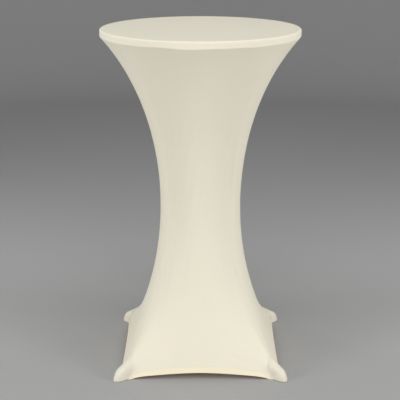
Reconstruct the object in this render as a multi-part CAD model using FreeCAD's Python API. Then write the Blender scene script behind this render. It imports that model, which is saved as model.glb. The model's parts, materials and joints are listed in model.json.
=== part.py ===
import FreeCAD, Part
import math
import os

# A stretch cover on a round pedestal bar table, in millimetres.
# Origin on the floor under the column, +Z up, front towards -Y.
# The cover grips the round top, pulls in to a waist and runs out to four
# pockets on the ends of the table's diagonal legs.

V = FreeCAD.Vector
Z_AXIS = V(0, 0, 1)

# ---- Overall sizes ---------------------------------------------------------
TABLE_HEIGHT = 1110.0        # floor to the top of the cloth
TOP_DIAMETER = 650.0         # over the cloth
RIM_DEPTH = 26.0             # upright band of cloth round the edge of the top
EDGE_RADIUS = 6.0            # rounding of the cloth over the top's edge
WAIST_RADIUS = 131.0         # narrowest section of the skirt
WAIST_HEIGHT = 530.0
FOOT_REACH = 383.0           # centre of the table to the nose of a pocket, on the diagonal

# ---- Cover -----------------------------------------------------------------
CLOTH = 1.0                  # thickness of the stretch cloth
CLEARANCE = 0.3              # soft piece to whatever it lies against
SEAM_GAP = 0.3               # between two skirt panels at the waist
HEM_SHARE = 0.66319          # middle of a face at the hem, as a share of the reach of the feet
HEM_RISE = 25.0              # hem above the floor in the middle of a face
HEM_END = 1.5                # hem above the floor where its arch would meet the corner
RIDGE = 0.054                # squareness of the section at the waist
FLOOR_SQUARENESS = 0.495     # squareness at the floor, where 0.5 is a sharp square
SQUARE_FADE = 165.0          # height over which the square foot turns round
SQUARE_FADE_POWER = 1.4      # above 1 holds the square a little way up
TOP_SEAM_INSET = 12.0        # seam of the top disc inside the rim
SEAM_BEAD_RADIUS = 0.5
SEAM_ALLOWANCE = 6.0         # depth of the sewn fin inside a corner
SEAM_THICKNESS = 1.4
HEM_TAPE_HEIGHT = 22.0
HEM_TAPE_THICKNESS = 0.8
HEM_TAPE_SETBACK = 0.5
LABEL_WIDTH = 30.0
LABEL_HEIGHT = 40.0
LABEL_THICKNESS = 0.4
LABEL_TURN = 12.0            # degrees round from the middle of the back panel

# ---- Foot pockets ----------------------------------------------------------
POCKET_WIDTH = 34.0
POCKET_HEIGHT = 32.0
POCKET_LENGTH = 57.0
POCKET_WALL = 1.5
POCKET_EDGE_RADIUS = 7.0
SOLE_THICKNESS = 1.5

# ---- Table top -------------------------------------------------------------
BOARD_THICKNESS = 24.0
EDGE_BAND_WIDTH = 6.0
EDGE_BAND_RADIUS = 5.0
FIT_GAP = 0.1                # rigid piece inside another
TOP_PLATE_RADIUS = 140.0
TOP_PLATE_THICKNESS = 4.0
PLATE_SCREW_COUNT = 8
PLATE_SCREW_CIRCLE = 110.0   # radius
WOOD_SCREW_RADIUS = 2.2
WOOD_SCREW_LENGTH = 16.0
WOOD_SCREW_HEAD_RADIUS = 4.5
WOOD_SCREW_HEAD_HEIGHT = 2.6

# ---- Column ----------------------------------------------------------------
COLUMN_RADIUS = 30.0
COLUMN_WALL = 2.0
COLLAR_HEIGHT = 50.0
COLLAR_WALL = 4.0
SLEEVE_GAP = 0.3             # column in its collar and on its spigot
COLLAR_SCREW_COUNT = 4
COLLAR_SCREW_RADIUS = 3.0
COLLAR_SCREW_DROP = 30.0     # below the top plate
ROD_RADIUS = 5.0
ROD_GAP = 0.5
ANCHOR_THICKNESS = 8.0
ANCHOR_DROP = 14.0           # top of the anchor disc below the top of the column
ROD_END = 5.0                # rod past its nut and its anchor

# ---- Base ------------------------------------------------------------------
HUB_RADIUS = 48.0
HUB_FLOOR = 3.2              # hub below the legs
HUB_ROOF = 5.8               # hub above the legs
SPIGOT_HEIGHT = 40.0
LEG_WIDTH = 28.0
LEG_HEIGHT = 15.0
LEG_WALL = 1.5
LEG_EDGE_RADIUS = 3.0
LEG_INNER_END = 22.0
NUT_ACROSS_FLATS = 17.0
NUT_HEIGHT = 8.0
WASHER_RADIUS = 10.5
WASHER_THICKNESS = 2.0
COUNTERBORE_RADIUS = 11.5
LEG_SCREW_RADIUS = 3.0
LEG_SCREW_OFFSET = 36.0      # from the centre of the hub
LEG_SCREW_LENGTH = 14.0
LEG_SCREW_HEAD_RADIUS = 5.5
LEG_SCREW_HEAD_HEIGHT = 3.0
CAP_PLUG_LENGTH = 12.0
CAP_EDGE_RADIUS = 8.0        # round upper edge that the pocket is drawn over

# ---- Levelling glides ------------------------------------------------------
GLIDE_SETBACK = 22.0         # glide inside the end of the leg tube
GLIDE_TRAVEL = 5.0
PAD_RADIUS = 13.5
PAD_HEIGHT = 6.0
PAD_EDGE_RADIUS = 1.5
PAD_FLOOR = 2.0              # material under the stem's socket
STEM_RADIUS = 3.95
RUNNING_GAP = 0.05           # stem in its thread and in its socket
FLANGE_ACROSS_FLATS = 11.0
FLANGE_HEIGHT = 1.8
INSERT_RADIUS = 7.0
INSERT_HEIGHT = 6.0
STEM_HEADROOM = 1.5          # stem below the tube's upper wall when wound right in

# ---- Sizes worked out from the ones above ----------------------------------
TOP_RADIUS = TOP_DIAMETER / 2
RIM_BOTTOM = TABLE_HEIGHT - RIM_DEPTH
HEM_RADIUS = HEM_SHARE * FOOT_REACH
RATE_ABOVE = math.acosh(TOP_RADIUS / WAIST_RADIUS) / (RIM_BOTTOM - WAIST_HEIGHT)
RATE_BELOW = math.acosh(HEM_RADIUS / WAIST_RADIUS) / (WAIST_HEIGHT - HEM_RISE)
NOSE_CENTRE = FOOT_REACH - POCKET_WIDTH / 2
POCKET_MOUTH = FOOT_REACH - POCKET_LENGTH
LEG_TOP = POCKET_HEIGHT - POCKET_WALL - CLEARANCE
LEG_BOTTOM = LEG_TOP - LEG_HEIGHT
LEG_OUTER_END = NOSE_CENTRE
HUB_BOTTOM = LEG_BOTTOM - HUB_FLOOR
HUB_TOP = LEG_TOP + HUB_ROOF
GLIDE_REACH = LEG_OUTER_END - GLIDE_SETBACK
PAD_BOTTOM = SOLE_THICKNESS + CLEARANCE
BOARD_TOP = TABLE_HEIGHT - CLOTH - CLEARANCE
BOARD_BOTTOM = BOARD_TOP - BOARD_THICKNESS
PLATE_BOTTOM = BOARD_BOTTOM - TOP_PLATE_THICKNESS
COLUMN_TOP = PLATE_BOTTOM - SLEEVE_GAP
COLUMN_BORE = COLUMN_RADIUS - COLUMN_WALL
ANCHOR_BOTTOM = COLUMN_TOP - ANCHOR_DROP - ANCHOR_THICKNESS
NUT_BOTTOM = HUB_BOTTOM + 1.0
WASHER_BOTTOM = NUT_BOTTOM + NUT_HEIGHT
COUNTERBORE_TOP = WASHER_BOTTOM + WASHER_THICKNESS

SIDES = {"front": -90.0, "right": 0.0, "back": 90.0, "left": 180.0}
CORNERS = {"front_right": -45.0, "back_right": 45.0, "back_left": 135.0, "front_left": -135.0}
CORNER = math.radians(45.0)
PANEL_EDGE = CORNER - math.asin(SEAM_GAP / 2 / WAIST_RADIUS)


# ---- Shape of the skirt ----------------------------------------------------
def face_radius(z):
    """Radius in the middle of a face: a hanging-chain curve each side of the waist."""
    rate = RATE_ABOVE if z > WAIST_HEIGHT else RATE_BELOW
    return WAIST_RADIUS * math.cosh(rate * (z - WAIST_HEIGHT))


def squareness(z):
    """How square the section is: 0 at the round top, near 0.5 at the floor."""
    fade = math.exp(-(z / SQUARE_FADE) ** SQUARE_FADE_POWER)
    climb = max(z - WAIST_HEIGHT, 0.0) / (RIM_BOTTOM - WAIST_HEIGHT)
    return (RIDGE + (FLOOR_SQUARENESS - RIDGE) * fade) * (1 - climb ** 2)


def skirt_radius(angle, z):
    """Radius of the skirt's outside at an angle from the middle of a face."""
    power = 1 / (0.5 - squareness(z))
    spread = abs(math.cos(angle)) ** power + abs(math.sin(angle)) ** power
    return face_radius(z) * spread ** (-1 / power)


def inner_radius(angle, z, depth):
    """Radius of the surface that lies `depth` inside the skirt, square to it."""
    slope = skirt_radius(angle, z + 0.5) - skirt_radius(angle, z - 0.5)
    return skirt_radius(angle, z) - depth * math.hypot(1, slope)


def hem_height(angle):
    """Height of the arched hem."""
    return HEM_RISE - (HEM_RISE - HEM_END) * math.tan(angle) ** 2


# ---- Helpers ---------------------------------------------------------------
def turned(shape, degrees):
    """A copy of the shape turned about the table's axis."""
    copy = shape.copy()
    copy.rotate(V(0, 0, 0), Z_AXIS, degrees)
    return copy


def cylinder(radius, bottom, top, x=0.0, y=0.0):
    """An upright cylinder."""
    return Part.makeCylinder(radius, top - bottom, V(x, y, bottom))


def ring(outer, inner, bottom, top):
    """An upright tube about the table's axis."""
    return cylinder(outer, bottom, top).cut(cylinder(inner, bottom, top))


def bar(inner, outer, width, bottom, top):
    """A box that runs outwards along +X."""
    return Part.makeBox(outer - inner, width, top - bottom, V(inner, -width / 2, bottom))


def hexagon(across_flats, bottom, top, x=0.0):
    """An upright hexagonal prism."""
    radius = across_flats / math.sqrt(3)
    corners = [V(x + radius * math.cos(math.radians(60 * i)), radius * math.sin(math.radians(60 * i)), bottom)
               for i in range(7)]
    return Part.Face(Part.makePolygon(corners)).extrude(V(0, 0, top - bottom))


def joined(shapes):
    """One solid made of several."""
    return shapes[0].multiFuse(shapes[1:]).removeSplitter()


def spaced(low, high, count):
    """Evenly spaced numbers, both ends included."""
    return [low + (high - low) * i / (count - 1) for i in range(count)]


def graded(low, high, count):
    """Numbers from low to high that start close together, both ends included."""
    return [low + (high - low) * (i / (count - 1)) ** 2 for i in range(count)]


def curve(points):
    """A smooth edge through points."""
    spline = Part.BSplineCurve()
    spline.interpolate(points)
    return spline.toShape()


def at(angle, radius, z):
    """A point in the upright half-plane at an angle."""
    return V(radius * math.cos(angle), radius * math.sin(angle), z)


def edges_named(shape, test):
    """The edges whose every corner passes a test."""
    return [e for e in shape.Edges if all(test(v.Point) for v in e.Vertexes)]


# ---- Cover -----------------------------------------------------------------
def panel_section(angle):
    """Closed outline of a skirt panel in one upright half-plane, with its lip over the rim."""
    lip = TOP_RADIUS - TOP_SEAM_INSET
    inside = inner_radius(angle, RIM_BOTTOM, CLOTH)
    edge_low = TABLE_HEIGHT - EDGE_RADIUS
    edge_in = TOP_RADIUS - EDGE_RADIUS
    outer_mid = EDGE_RADIUS * math.sqrt(0.5)
    inner_mid = (inside - edge_in) * math.sqrt(0.5)
    hem = hem_height(angle)
    hem_out = at(angle, skirt_radius(angle, hem), hem)
    hem_in = at(angle, inner_radius(angle, hem, CLOTH), hem)
    lip_top = at(angle, lip, TABLE_HEIGHT)
    lip_low = at(angle, lip, TABLE_HEIGHT - CLOTH)
    bend_top = at(angle, edge_in, TABLE_HEIGHT)
    bend_out = at(angle, TOP_RADIUS, edge_low)
    bend_in = at(angle, inside, edge_low)
    bend_under = at(angle, edge_in, TABLE_HEIGHT - CLOTH)
    crease_out = at(angle, TOP_RADIUS, RIM_BOTTOM)
    crease_in = at(angle, inside, RIM_BOTTOM)
    outer_arc = Part.Arc(bend_top, at(angle, edge_in + outer_mid, edge_low + outer_mid), bend_out)
    inner_arc = Part.Arc(bend_in, at(angle, edge_in + inner_mid, edge_low + inner_mid), bend_under)
    levels = graded(hem, RIM_BOTTOM, 20)
    outer = [at(angle, skirt_radius(angle, z), z) for z in reversed(levels)]
    inner = [at(angle, inner_radius(angle, z, CLOTH), z) for z in levels]
    return Part.Wire([
        Part.makeLine(lip_low, lip_top),
        Part.makeLine(lip_top, bend_top),
        outer_arc.toShape(),
        Part.makeLine(bend_out, crease_out),
        curve(outer[:-1] + [hem_out]),
        Part.makeLine(hem_out, hem_in),
        curve([hem_in] + inner[1:-1] + [crease_in]),
        Part.makeLine(crease_in, bend_in),
        inner_arc.toShape(),
        Part.makeLine(bend_under, lip_low),
    ])


def pocket_space():
    """Room that the skirt leaves for the pocket on the +X diagonal, with its way out."""
    width = POCKET_WIDTH + 2 * CLEARANCE
    return bar(POCKET_MOUTH - 2 * CLEARANCE, FOOT_REACH + POCKET_LENGTH, width, -1.0, POCKET_HEIGHT + CLEARANCE)


def without_pockets(shape):
    """A face-centred piece of the skirt with both of its corner pockets cut out."""
    return shape.cut(turned(pocket_space(), 45)).cut(turned(pocket_space(), -45))


def skirt_panel():
    """One of the four panels, its middle on +X."""
    sections = [panel_section(a) for a in spaced(-PANEL_EDGE, PANEL_EDGE, 11)]
    return without_pockets(Part.makeLoft(sections, True, False))


def skirt_strip(angles, low, high, depth, thickness):
    """A strip that lies against the inside of a panel, between two heights given by angle."""
    sections = []
    for angle in angles:
        bottom, top = low(angle), high(angle)
        outer = [at(angle, inner_radius(angle, z, depth), z) for z in spaced(top, bottom, 5)]
        inner = [at(angle, inner_radius(angle, z, depth + thickness), z) for z in spaced(bottom, top, 5)]
        sections.append(Part.Wire([
            curve(outer),
            Part.makeLine(outer[-1], inner[0]),
            curve(inner),
            Part.makeLine(inner[-1], outer[0]),
        ]))
    return Part.makeLoft(sections, True, False)


def hem_tape():
    """Elastic tape sewn inside the hem of one panel."""
    strip = skirt_strip(
        spaced(-PANEL_EDGE, PANEL_EDGE, 11),
        lambda a: hem_height(a) + HEM_TAPE_SETBACK,
        lambda a: hem_height(a) + HEM_TAPE_HEIGHT,
        CLOTH + CLEARANCE,
        HEM_TAPE_THICKNESS,
    )
    return without_pockets(strip)


def care_label():
    """Blank label sewn in above the hem tape of the back panel."""
    middle = math.radians(LABEL_TURN)
    half = LABEL_WIDTH / 2 / HEM_RADIUS
    bottom = HEM_RISE + HEM_TAPE_HEIGHT + CLEARANCE
    label = skirt_strip(
        spaced(middle - half, middle + half, 3),
        lambda a: bottom,
        lambda a: bottom + LABEL_HEIGHT,
        CLOTH + CLEARANCE,
        LABEL_THICKNESS,
    )
    return turned(label, SIDES["back"])


def corner_seam():
    """Sewn fin inside one corner, from under the top down to the pocket, on the +X diagonal."""
    low = POCKET_HEIGHT + 2 * CLEARANCE
    high = BOARD_BOTTOM - SEAM_ALLOWANCE - 2 * CLEARANCE
    near = CLOTH + CLEARANCE + SEAM_THICKNESS / 2
    levels = graded(low, high, 20)
    outer = [at(0, inner_radius(CORNER, z, near), z) for z in reversed(levels)]
    inner = [at(0, inner_radius(CORNER, z, near + SEAM_ALLOWANCE), z) for z in levels]
    outline = Part.Wire([
        curve(outer),
        Part.makeLine(outer[-1], inner[0]),
        curve(inner),
        Part.makeLine(inner[-1], outer[0]),
    ])
    fin = Part.Face(outline).extrude(V(0, SEAM_THICKNESS, 0))
    fin.translate(V(0, -SEAM_THICKNESS / 2, 0))
    return fin


def top_panel():
    """Disc of cloth on the table top."""
    radius = TOP_RADIUS - TOP_SEAM_INSET - 2 * SEAM_BEAD_RADIUS - 2 * CLEARANCE
    return cylinder(radius, TABLE_HEIGHT - CLOTH, TABLE_HEIGHT)


def top_seam():
    """Bead of thread that joins the top panel to the skirt panels."""
    reach = TOP_RADIUS - TOP_SEAM_INSET - SEAM_BEAD_RADIUS - CLEARANCE
    return Part.makeTorus(reach, SEAM_BEAD_RADIUS, V(0, 0, TABLE_HEIGHT - SEAM_BEAD_RADIUS), Z_AXIS)


def tongue(margin, bottom, top):
    """A bar with a half-round nose, `margin` smaller than the pocket all round."""
    half = POCKET_WIDTH / 2 - margin
    nose = cylinder(half, bottom, top, NOSE_CENTRE)
    return joined([bar(POCKET_MOUTH, NOSE_CENTRE, 2 * half, bottom, top), nose])


def rounded_tongue(inset, low, high, radius):
    """A tongue whose upper edge is rounded, but not at its mouth."""
    body = tongue(inset, low, high)
    upper = edges_named(body, lambda p: p.z > high - 0.01 and p.x > POCKET_MOUTH - 0.01)
    return body.makeFillet(radius, [e for e in upper if e.BoundBox.XLength > 1.0])


def foot_pocket():
    """Walls, nose and roof of a reinforced pocket on the +X diagonal, open inwards and below."""
    body = rounded_tongue(0.0, SOLE_THICKNESS, POCKET_HEIGHT, POCKET_EDGE_RADIUS)
    hollow = rounded_tongue(POCKET_WALL, SOLE_THICKNESS - 1.0, POCKET_HEIGHT - POCKET_WALL,
                            POCKET_EDGE_RADIUS - POCKET_WALL)
    entry = hollow.translated(V(-2 * POCKET_WALL, 0, 0))
    return body.cut(joined([hollow, entry]))


def pocket_sole():
    """Flat patch under a pocket."""
    return tongue(0.0, 0.0, SOLE_THICKNESS)


# ---- Table top -------------------------------------------------------------
def board_radius():
    """Outside of the edge band, just clear of the rim's cloth."""
    return inner_radius(0.0, RIM_BOTTOM, CLOTH) - CLEARANCE


def plate_screw_places():
    """Centres of the wood screws."""
    step = 2 * math.pi / PLATE_SCREW_COUNT
    return [at(step * (i + 0.5), PLATE_SCREW_CIRCLE, 0) for i in range(PLATE_SCREW_COUNT)]


def bored(shape, places, radius, bottom, top):
    """The shape with an upright hole at each place."""
    for place in places:
        shape = shape.cut(cylinder(radius, bottom, top, place.x, place.y))
    return shape


def top_board():
    """Round board."""
    board = cylinder(board_radius() - EDGE_BAND_WIDTH - FIT_GAP, BOARD_BOTTOM, BOARD_TOP)
    depth = WOOD_SCREW_LENGTH - TOP_PLATE_THICKNESS + 1.0
    return bored(board, plate_screw_places(), WOOD_SCREW_RADIUS + FIT_GAP, BOARD_BOTTOM, BOARD_BOTTOM + depth)


def edge_band():
    """Rounded bumper round the board."""
    radius = board_radius()
    band = ring(radius, radius - EDGE_BAND_WIDTH, BOARD_BOTTOM, BOARD_TOP)
    outer = [e for e in band.Edges if e.BoundBox.ZLength < 0.01 and e.BoundBox.XMax > radius - 0.01]
    return band.makeFillet(EDGE_BAND_RADIUS, outer)


def top_plate():
    """Steel plate under the board."""
    plate = cylinder(TOP_PLATE_RADIUS, PLATE_BOTTOM, BOARD_BOTTOM)
    return bored(plate, plate_screw_places(), WOOD_SCREW_RADIUS + FIT_GAP, PLATE_BOTTOM, BOARD_BOTTOM)


def top_plate_screws():
    """Wood screws that hold the plate, each with a domed head below it."""
    screws = []
    for place in plate_screw_places():
        top = PLATE_BOTTOM + WOOD_SCREW_LENGTH
        shank = cylinder(WOOD_SCREW_RADIUS, PLATE_BOTTOM, top, place.x, place.y)
        head = cylinder(WOOD_SCREW_HEAD_RADIUS, PLATE_BOTTOM - WOOD_SCREW_HEAD_HEIGHT, PLATE_BOTTOM,
                        place.x, place.y)
        screws.append(joined([shank, head]))
    return Part.makeCompound(screws)


# ---- Column ----------------------------------------------------------------
def set_screws(radius):
    """Radial pins at the collar's set screws, from inside the collar wall outwards."""
    height = PLATE_BOTTOM - COLLAR_SCREW_DROP
    pins = []
    for i in range(COLLAR_SCREW_COUNT):
        pin = Part.makeCylinder(radius, COLLAR_WALL + 1.0, V(COLUMN_RADIUS + SLEEVE_GAP, 0, height), V(1, 0, 0))
        pins.append(turned(pin, 360.0 / COLLAR_SCREW_COUNT * (i + 0.5)))
    return pins


def top_collar():
    """Sleeve under the plate that takes the column."""
    bore = COLUMN_RADIUS + SLEEVE_GAP
    collar = ring(bore + COLLAR_WALL, bore, PLATE_BOTTOM - COLLAR_HEIGHT, PLATE_BOTTOM)
    for pin in set_screws(COLLAR_SCREW_RADIUS + FIT_GAP):
        collar = collar.cut(pin)
    return collar


def collar_screws():
    """Grub screws that grip the column."""
    return Part.makeCompound(set_screws(COLLAR_SCREW_RADIUS))


def column():
    """Round tube between the base and the top."""
    return ring(COLUMN_RADIUS, COLUMN_BORE, HUB_TOP, COLUMN_TOP)


def rod_anchor():
    """Threaded disc fixed in the top of the column."""
    return ring(COLUMN_BORE - SLEEVE_GAP, ROD_RADIUS + FIT_GAP, ANCHOR_BOTTOM, ANCHOR_BOTTOM + ANCHOR_THICKNESS)


def tie_rod():
    """Threaded rod that pulls the base up against the column."""
    return cylinder(ROD_RADIUS, NUT_BOTTOM - ROD_END, ANCHOR_BOTTOM + ANCHOR_THICKNESS + ROD_END)


def tie_rod_nut():
    """Nut under the base."""
    nut = hexagon(NUT_ACROSS_FLATS, NUT_BOTTOM, WASHER_BOTTOM)
    return nut.cut(cylinder(ROD_RADIUS + FIT_GAP, NUT_BOTTOM, WASHER_BOTTOM))


def tie_rod_washer():
    """Washer between the nut and the hub."""
    return ring(WASHER_RADIUS, ROD_RADIUS + FIT_GAP, WASHER_BOTTOM, COUNTERBORE_TOP)


# ---- Base ------------------------------------------------------------------
def base_hub():
    """Hub with a socket for each leg and a spigot for the column."""
    hub = cylinder(HUB_RADIUS, HUB_BOTTOM, HUB_TOP)
    spigot = cylinder(COLUMN_BORE - SLEEVE_GAP, HUB_TOP, HUB_TOP + SPIGOT_HEIGHT)
    hub = joined([hub, spigot])
    hub = hub.cut(cylinder(ROD_RADIUS + ROD_GAP, HUB_BOTTOM, HUB_TOP + SPIGOT_HEIGHT))
    hub = hub.cut(cylinder(COUNTERBORE_RADIUS, HUB_BOTTOM, COUNTERBORE_TOP))
    socket = bar(LEG_INNER_END, HUB_RADIUS + 1.0, LEG_WIDTH + 2 * FIT_GAP, LEG_BOTTOM - FIT_GAP, LEG_TOP + FIT_GAP)
    screw_way = cylinder(LEG_SCREW_RADIUS + FIT_GAP, HUB_BOTTOM, LEG_BOTTOM, LEG_SCREW_OFFSET)
    for azimuth in CORNERS.values():
        hub = hub.cut(turned(socket, azimuth)).cut(turned(screw_way, azimuth))
    return hub


def leg():
    """Flat tube leg on the +X diagonal."""
    inner = LEG_INNER_END + FIT_GAP
    tube = bar(inner, LEG_OUTER_END, LEG_WIDTH, LEG_BOTTOM, LEG_TOP)
    long_edges = [e for e in tube.Edges if e.BoundBox.XLength > 1.0]
    tube = tube.makeFillet(LEG_EDGE_RADIUS, long_edges)
    hollow = bar(inner, LEG_OUTER_END, LEG_WIDTH - 2 * LEG_WALL, LEG_BOTTOM + LEG_WALL, LEG_TOP - LEG_WALL)
    hollow_edges = [e for e in hollow.Edges if e.BoundBox.XLength > 1.0]
    tube = tube.cut(hollow.makeFillet(LEG_EDGE_RADIUS - LEG_WALL, hollow_edges))
    middle = LEG_BOTTOM + LEG_HEIGHT / 2
    tube = tube.cut(cylinder(INSERT_RADIUS + FIT_GAP, LEG_BOTTOM, middle, GLIDE_REACH))
    return tube.cut(cylinder(LEG_SCREW_RADIUS + FIT_GAP, LEG_BOTTOM, middle, LEG_SCREW_OFFSET))


def leg_screws():
    """Screws that hold the legs in the hub, heads below it."""
    screws = []
    for azimuth in CORNERS.values():
        shank = cylinder(LEG_SCREW_RADIUS, HUB_BOTTOM, HUB_BOTTOM + LEG_SCREW_LENGTH, LEG_SCREW_OFFSET)
        head = cylinder(LEG_SCREW_HEAD_RADIUS, HUB_BOTTOM - LEG_SCREW_HEAD_HEIGHT, HUB_BOTTOM, LEG_SCREW_OFFSET)
        screws.append(turned(joined([shank, head]), azimuth))
    return Part.makeCompound(screws)


def leg_cap():
    """Half-round plastic end with a plug in the leg tube."""
    nose = cylinder(LEG_WIDTH / 2, LEG_BOTTOM, LEG_TOP, LEG_OUTER_END)
    nose = nose.makeFillet(CAP_EDGE_RADIUS, [e for e in nose.Edges if e.BoundBox.ZMin > LEG_TOP - 0.01])
    nose = nose.common(bar(LEG_OUTER_END, FOOT_REACH, LEG_WIDTH, LEG_BOTTOM, LEG_TOP))
    inside = LEG_WALL + FIT_GAP
    plug = bar(LEG_OUTER_END - CAP_PLUG_LENGTH, LEG_OUTER_END + 1.0, LEG_WIDTH - 2 * inside,
               LEG_BOTTOM + inside, LEG_TOP - inside)
    plug_edges = [e for e in plug.Edges if e.BoundBox.XLength > 1.0]
    return joined([nose, plug.makeFillet(LEG_EDGE_RADIUS - LEG_WALL, plug_edges)])


# ---- Levelling glides ------------------------------------------------------
def glide_insert():
    """Threaded insert in the underside of a leg."""
    top = LEG_BOTTOM + INSERT_HEIGHT
    body = cylinder(INSERT_RADIUS, LEG_BOTTOM, top, GLIDE_REACH)
    return body.cut(cylinder(STEM_RADIUS + RUNNING_GAP, LEG_BOTTOM, top, GLIDE_REACH))


def glide_stem():
    """Threaded stem with its spanner flange, wound right out."""
    top = LEG_TOP - LEG_WALL - GLIDE_TRAVEL - STEM_HEADROOM
    rod = cylinder(STEM_RADIUS, PAD_BOTTOM + PAD_FLOOR + CLEARANCE, top, GLIDE_REACH)
    flange_bottom = PAD_BOTTOM + PAD_HEIGHT + CLEARANCE
    return joined([rod, hexagon(FLANGE_ACROSS_FLATS, flange_bottom, flange_bottom + FLANGE_HEIGHT, GLIDE_REACH)])


def glide_pad():
    """Round pad that the stem turns in."""
    top = PAD_BOTTOM + PAD_HEIGHT
    pad = cylinder(PAD_RADIUS, PAD_BOTTOM, top, GLIDE_REACH)
    rims = [e for e in pad.Edges if e.BoundBox.ZLength < 0.01]
    pad = pad.makeFillet(PAD_EDGE_RADIUS, rims)
    return pad.cut(cylinder(STEM_RADIUS + RUNNING_GAP, PAD_BOTTOM + PAD_FLOOR, top, GLIDE_REACH))


# ---- All nodes -------------------------------------------------------------
def all_nodes():
    """Every sub-part by name."""
    nodes = {
        "top_panel": top_panel(),
        "top_seam": top_seam(),
        "care_label": care_label(),
        "top_board": top_board(),
        "edge_band": edge_band(),
        "top_plate": top_plate(),
        "top_plate_screws": top_plate_screws(),
        "top_collar": top_collar(),
        "collar_screws": collar_screws(),
        "column": column(),
        "rod_anchor": rod_anchor(),
        "tie_rod": tie_rod(),
        "tie_rod_nut": tie_rod_nut(),
        "tie_rod_washer": tie_rod_washer(),
        "base_hub": base_hub(),
        "leg_screws": leg_screws(),
    }
    per_side = {"skirt": skirt_panel(), "hem_tape": hem_tape()}
    per_corner = {
        "corner_seam": corner_seam(),
        "foot_pocket": foot_pocket(),
        "pocket_sole": pocket_sole(),
        "leg": leg(),
        "leg_cap": leg_cap(),
        "glide_insert": glide_insert(),
        "glide_stem": glide_stem(),
        "glide_pad": glide_pad(),
    }
    for name, shape in per_side.items():
        for side, azimuth in SIDES.items():
            nodes[f"{name}_{side}"] = turned(shape, azimuth)
    for name, shape in per_corner.items():
        for corner, azimuth in CORNERS.items():
            nodes[f"{name}_{corner}"] = turned(shape, azimuth)
    return nodes


os.makedirs("parts", exist_ok=True)
for node, node_shape in all_nodes().items():
    node_shape.exportStep(f"parts/{node}.step")
    print(node, node_shape.isValid(), len(node_shape.Solids), round(node_shape.Volume, 1))
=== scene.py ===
"""Looks of a stretch cover on a round bar table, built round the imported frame, in metres."""

import json
import logging
import math
from dataclasses import dataclass, field
from enum import Enum
from typing import Any, Mapping, Optional, Sequence

import bpy
import numpy as np
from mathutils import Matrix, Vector


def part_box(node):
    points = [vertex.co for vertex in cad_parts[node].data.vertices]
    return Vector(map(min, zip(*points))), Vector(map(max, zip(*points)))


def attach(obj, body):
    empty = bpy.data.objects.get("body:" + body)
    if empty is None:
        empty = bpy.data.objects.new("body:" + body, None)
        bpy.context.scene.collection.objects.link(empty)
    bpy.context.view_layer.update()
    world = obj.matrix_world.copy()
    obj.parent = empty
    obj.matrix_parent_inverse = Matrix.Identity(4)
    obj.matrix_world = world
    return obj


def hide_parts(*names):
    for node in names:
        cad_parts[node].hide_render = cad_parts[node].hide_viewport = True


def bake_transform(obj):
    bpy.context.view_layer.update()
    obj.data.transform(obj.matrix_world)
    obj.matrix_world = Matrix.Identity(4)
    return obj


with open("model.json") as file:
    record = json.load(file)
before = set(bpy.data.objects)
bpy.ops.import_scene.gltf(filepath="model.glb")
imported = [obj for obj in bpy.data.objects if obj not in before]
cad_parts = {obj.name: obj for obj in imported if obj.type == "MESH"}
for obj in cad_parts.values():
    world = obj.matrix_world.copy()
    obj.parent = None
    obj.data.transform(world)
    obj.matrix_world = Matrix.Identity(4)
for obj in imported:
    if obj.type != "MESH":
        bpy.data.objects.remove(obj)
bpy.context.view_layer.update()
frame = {"nodes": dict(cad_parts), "record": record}

LOG = logging.getLogger("cover")
Colour = tuple[float, float, float]
CLOTH_MAP = "cloth"
NORMAL_NAME = "cloth_normal"
ROOT = "table"


# ---- Shader building -------------------------------------------------------------------------
class Signal:
    """A socket of a shader tree that takes part in Python arithmetic."""

    def __init__(self, tree: "ShaderTree", socket: bpy.types.NodeSocket) -> None:
        """Wraps one output socket of a tree."""
        self.tree = tree
        self.socket = socket

    def _math(self, operation: str, *values: Any) -> "Signal":
        """Adds one Math node over values and sockets."""
        return self.tree.node("ShaderNodeMath", dict(enumerate(values)), operation=operation)

    def __add__(self, other: Any) -> "Signal":
        """self + other."""
        return self._math("ADD", self, other)

    def __radd__(self, other: Any) -> "Signal":
        """other + self."""
        return self._math("ADD", other, self)

    def __sub__(self, other: Any) -> "Signal":
        """self - other."""
        return self._math("SUBTRACT", self, other)

    def __rsub__(self, other: Any) -> "Signal":
        """other - self."""
        return self._math("SUBTRACT", other, self)

    def __mul__(self, other: Any) -> "Signal":
        """self * other."""
        return self._math("MULTIPLY", self, other)

    def __rmul__(self, other: Any) -> "Signal":
        """other * self."""
        return self._math("MULTIPLY", other, self)

    def __pow__(self, other: Any) -> "Signal":
        """self ** other."""
        return self._math("POWER", self, other)

    def sine(self) -> "Signal":
        """Sine of the value."""
        return self._math("SINE", self)

    def size(self) -> "Signal":
        """Absolute value."""
        return self._math("ABSOLUTE", self)


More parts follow.
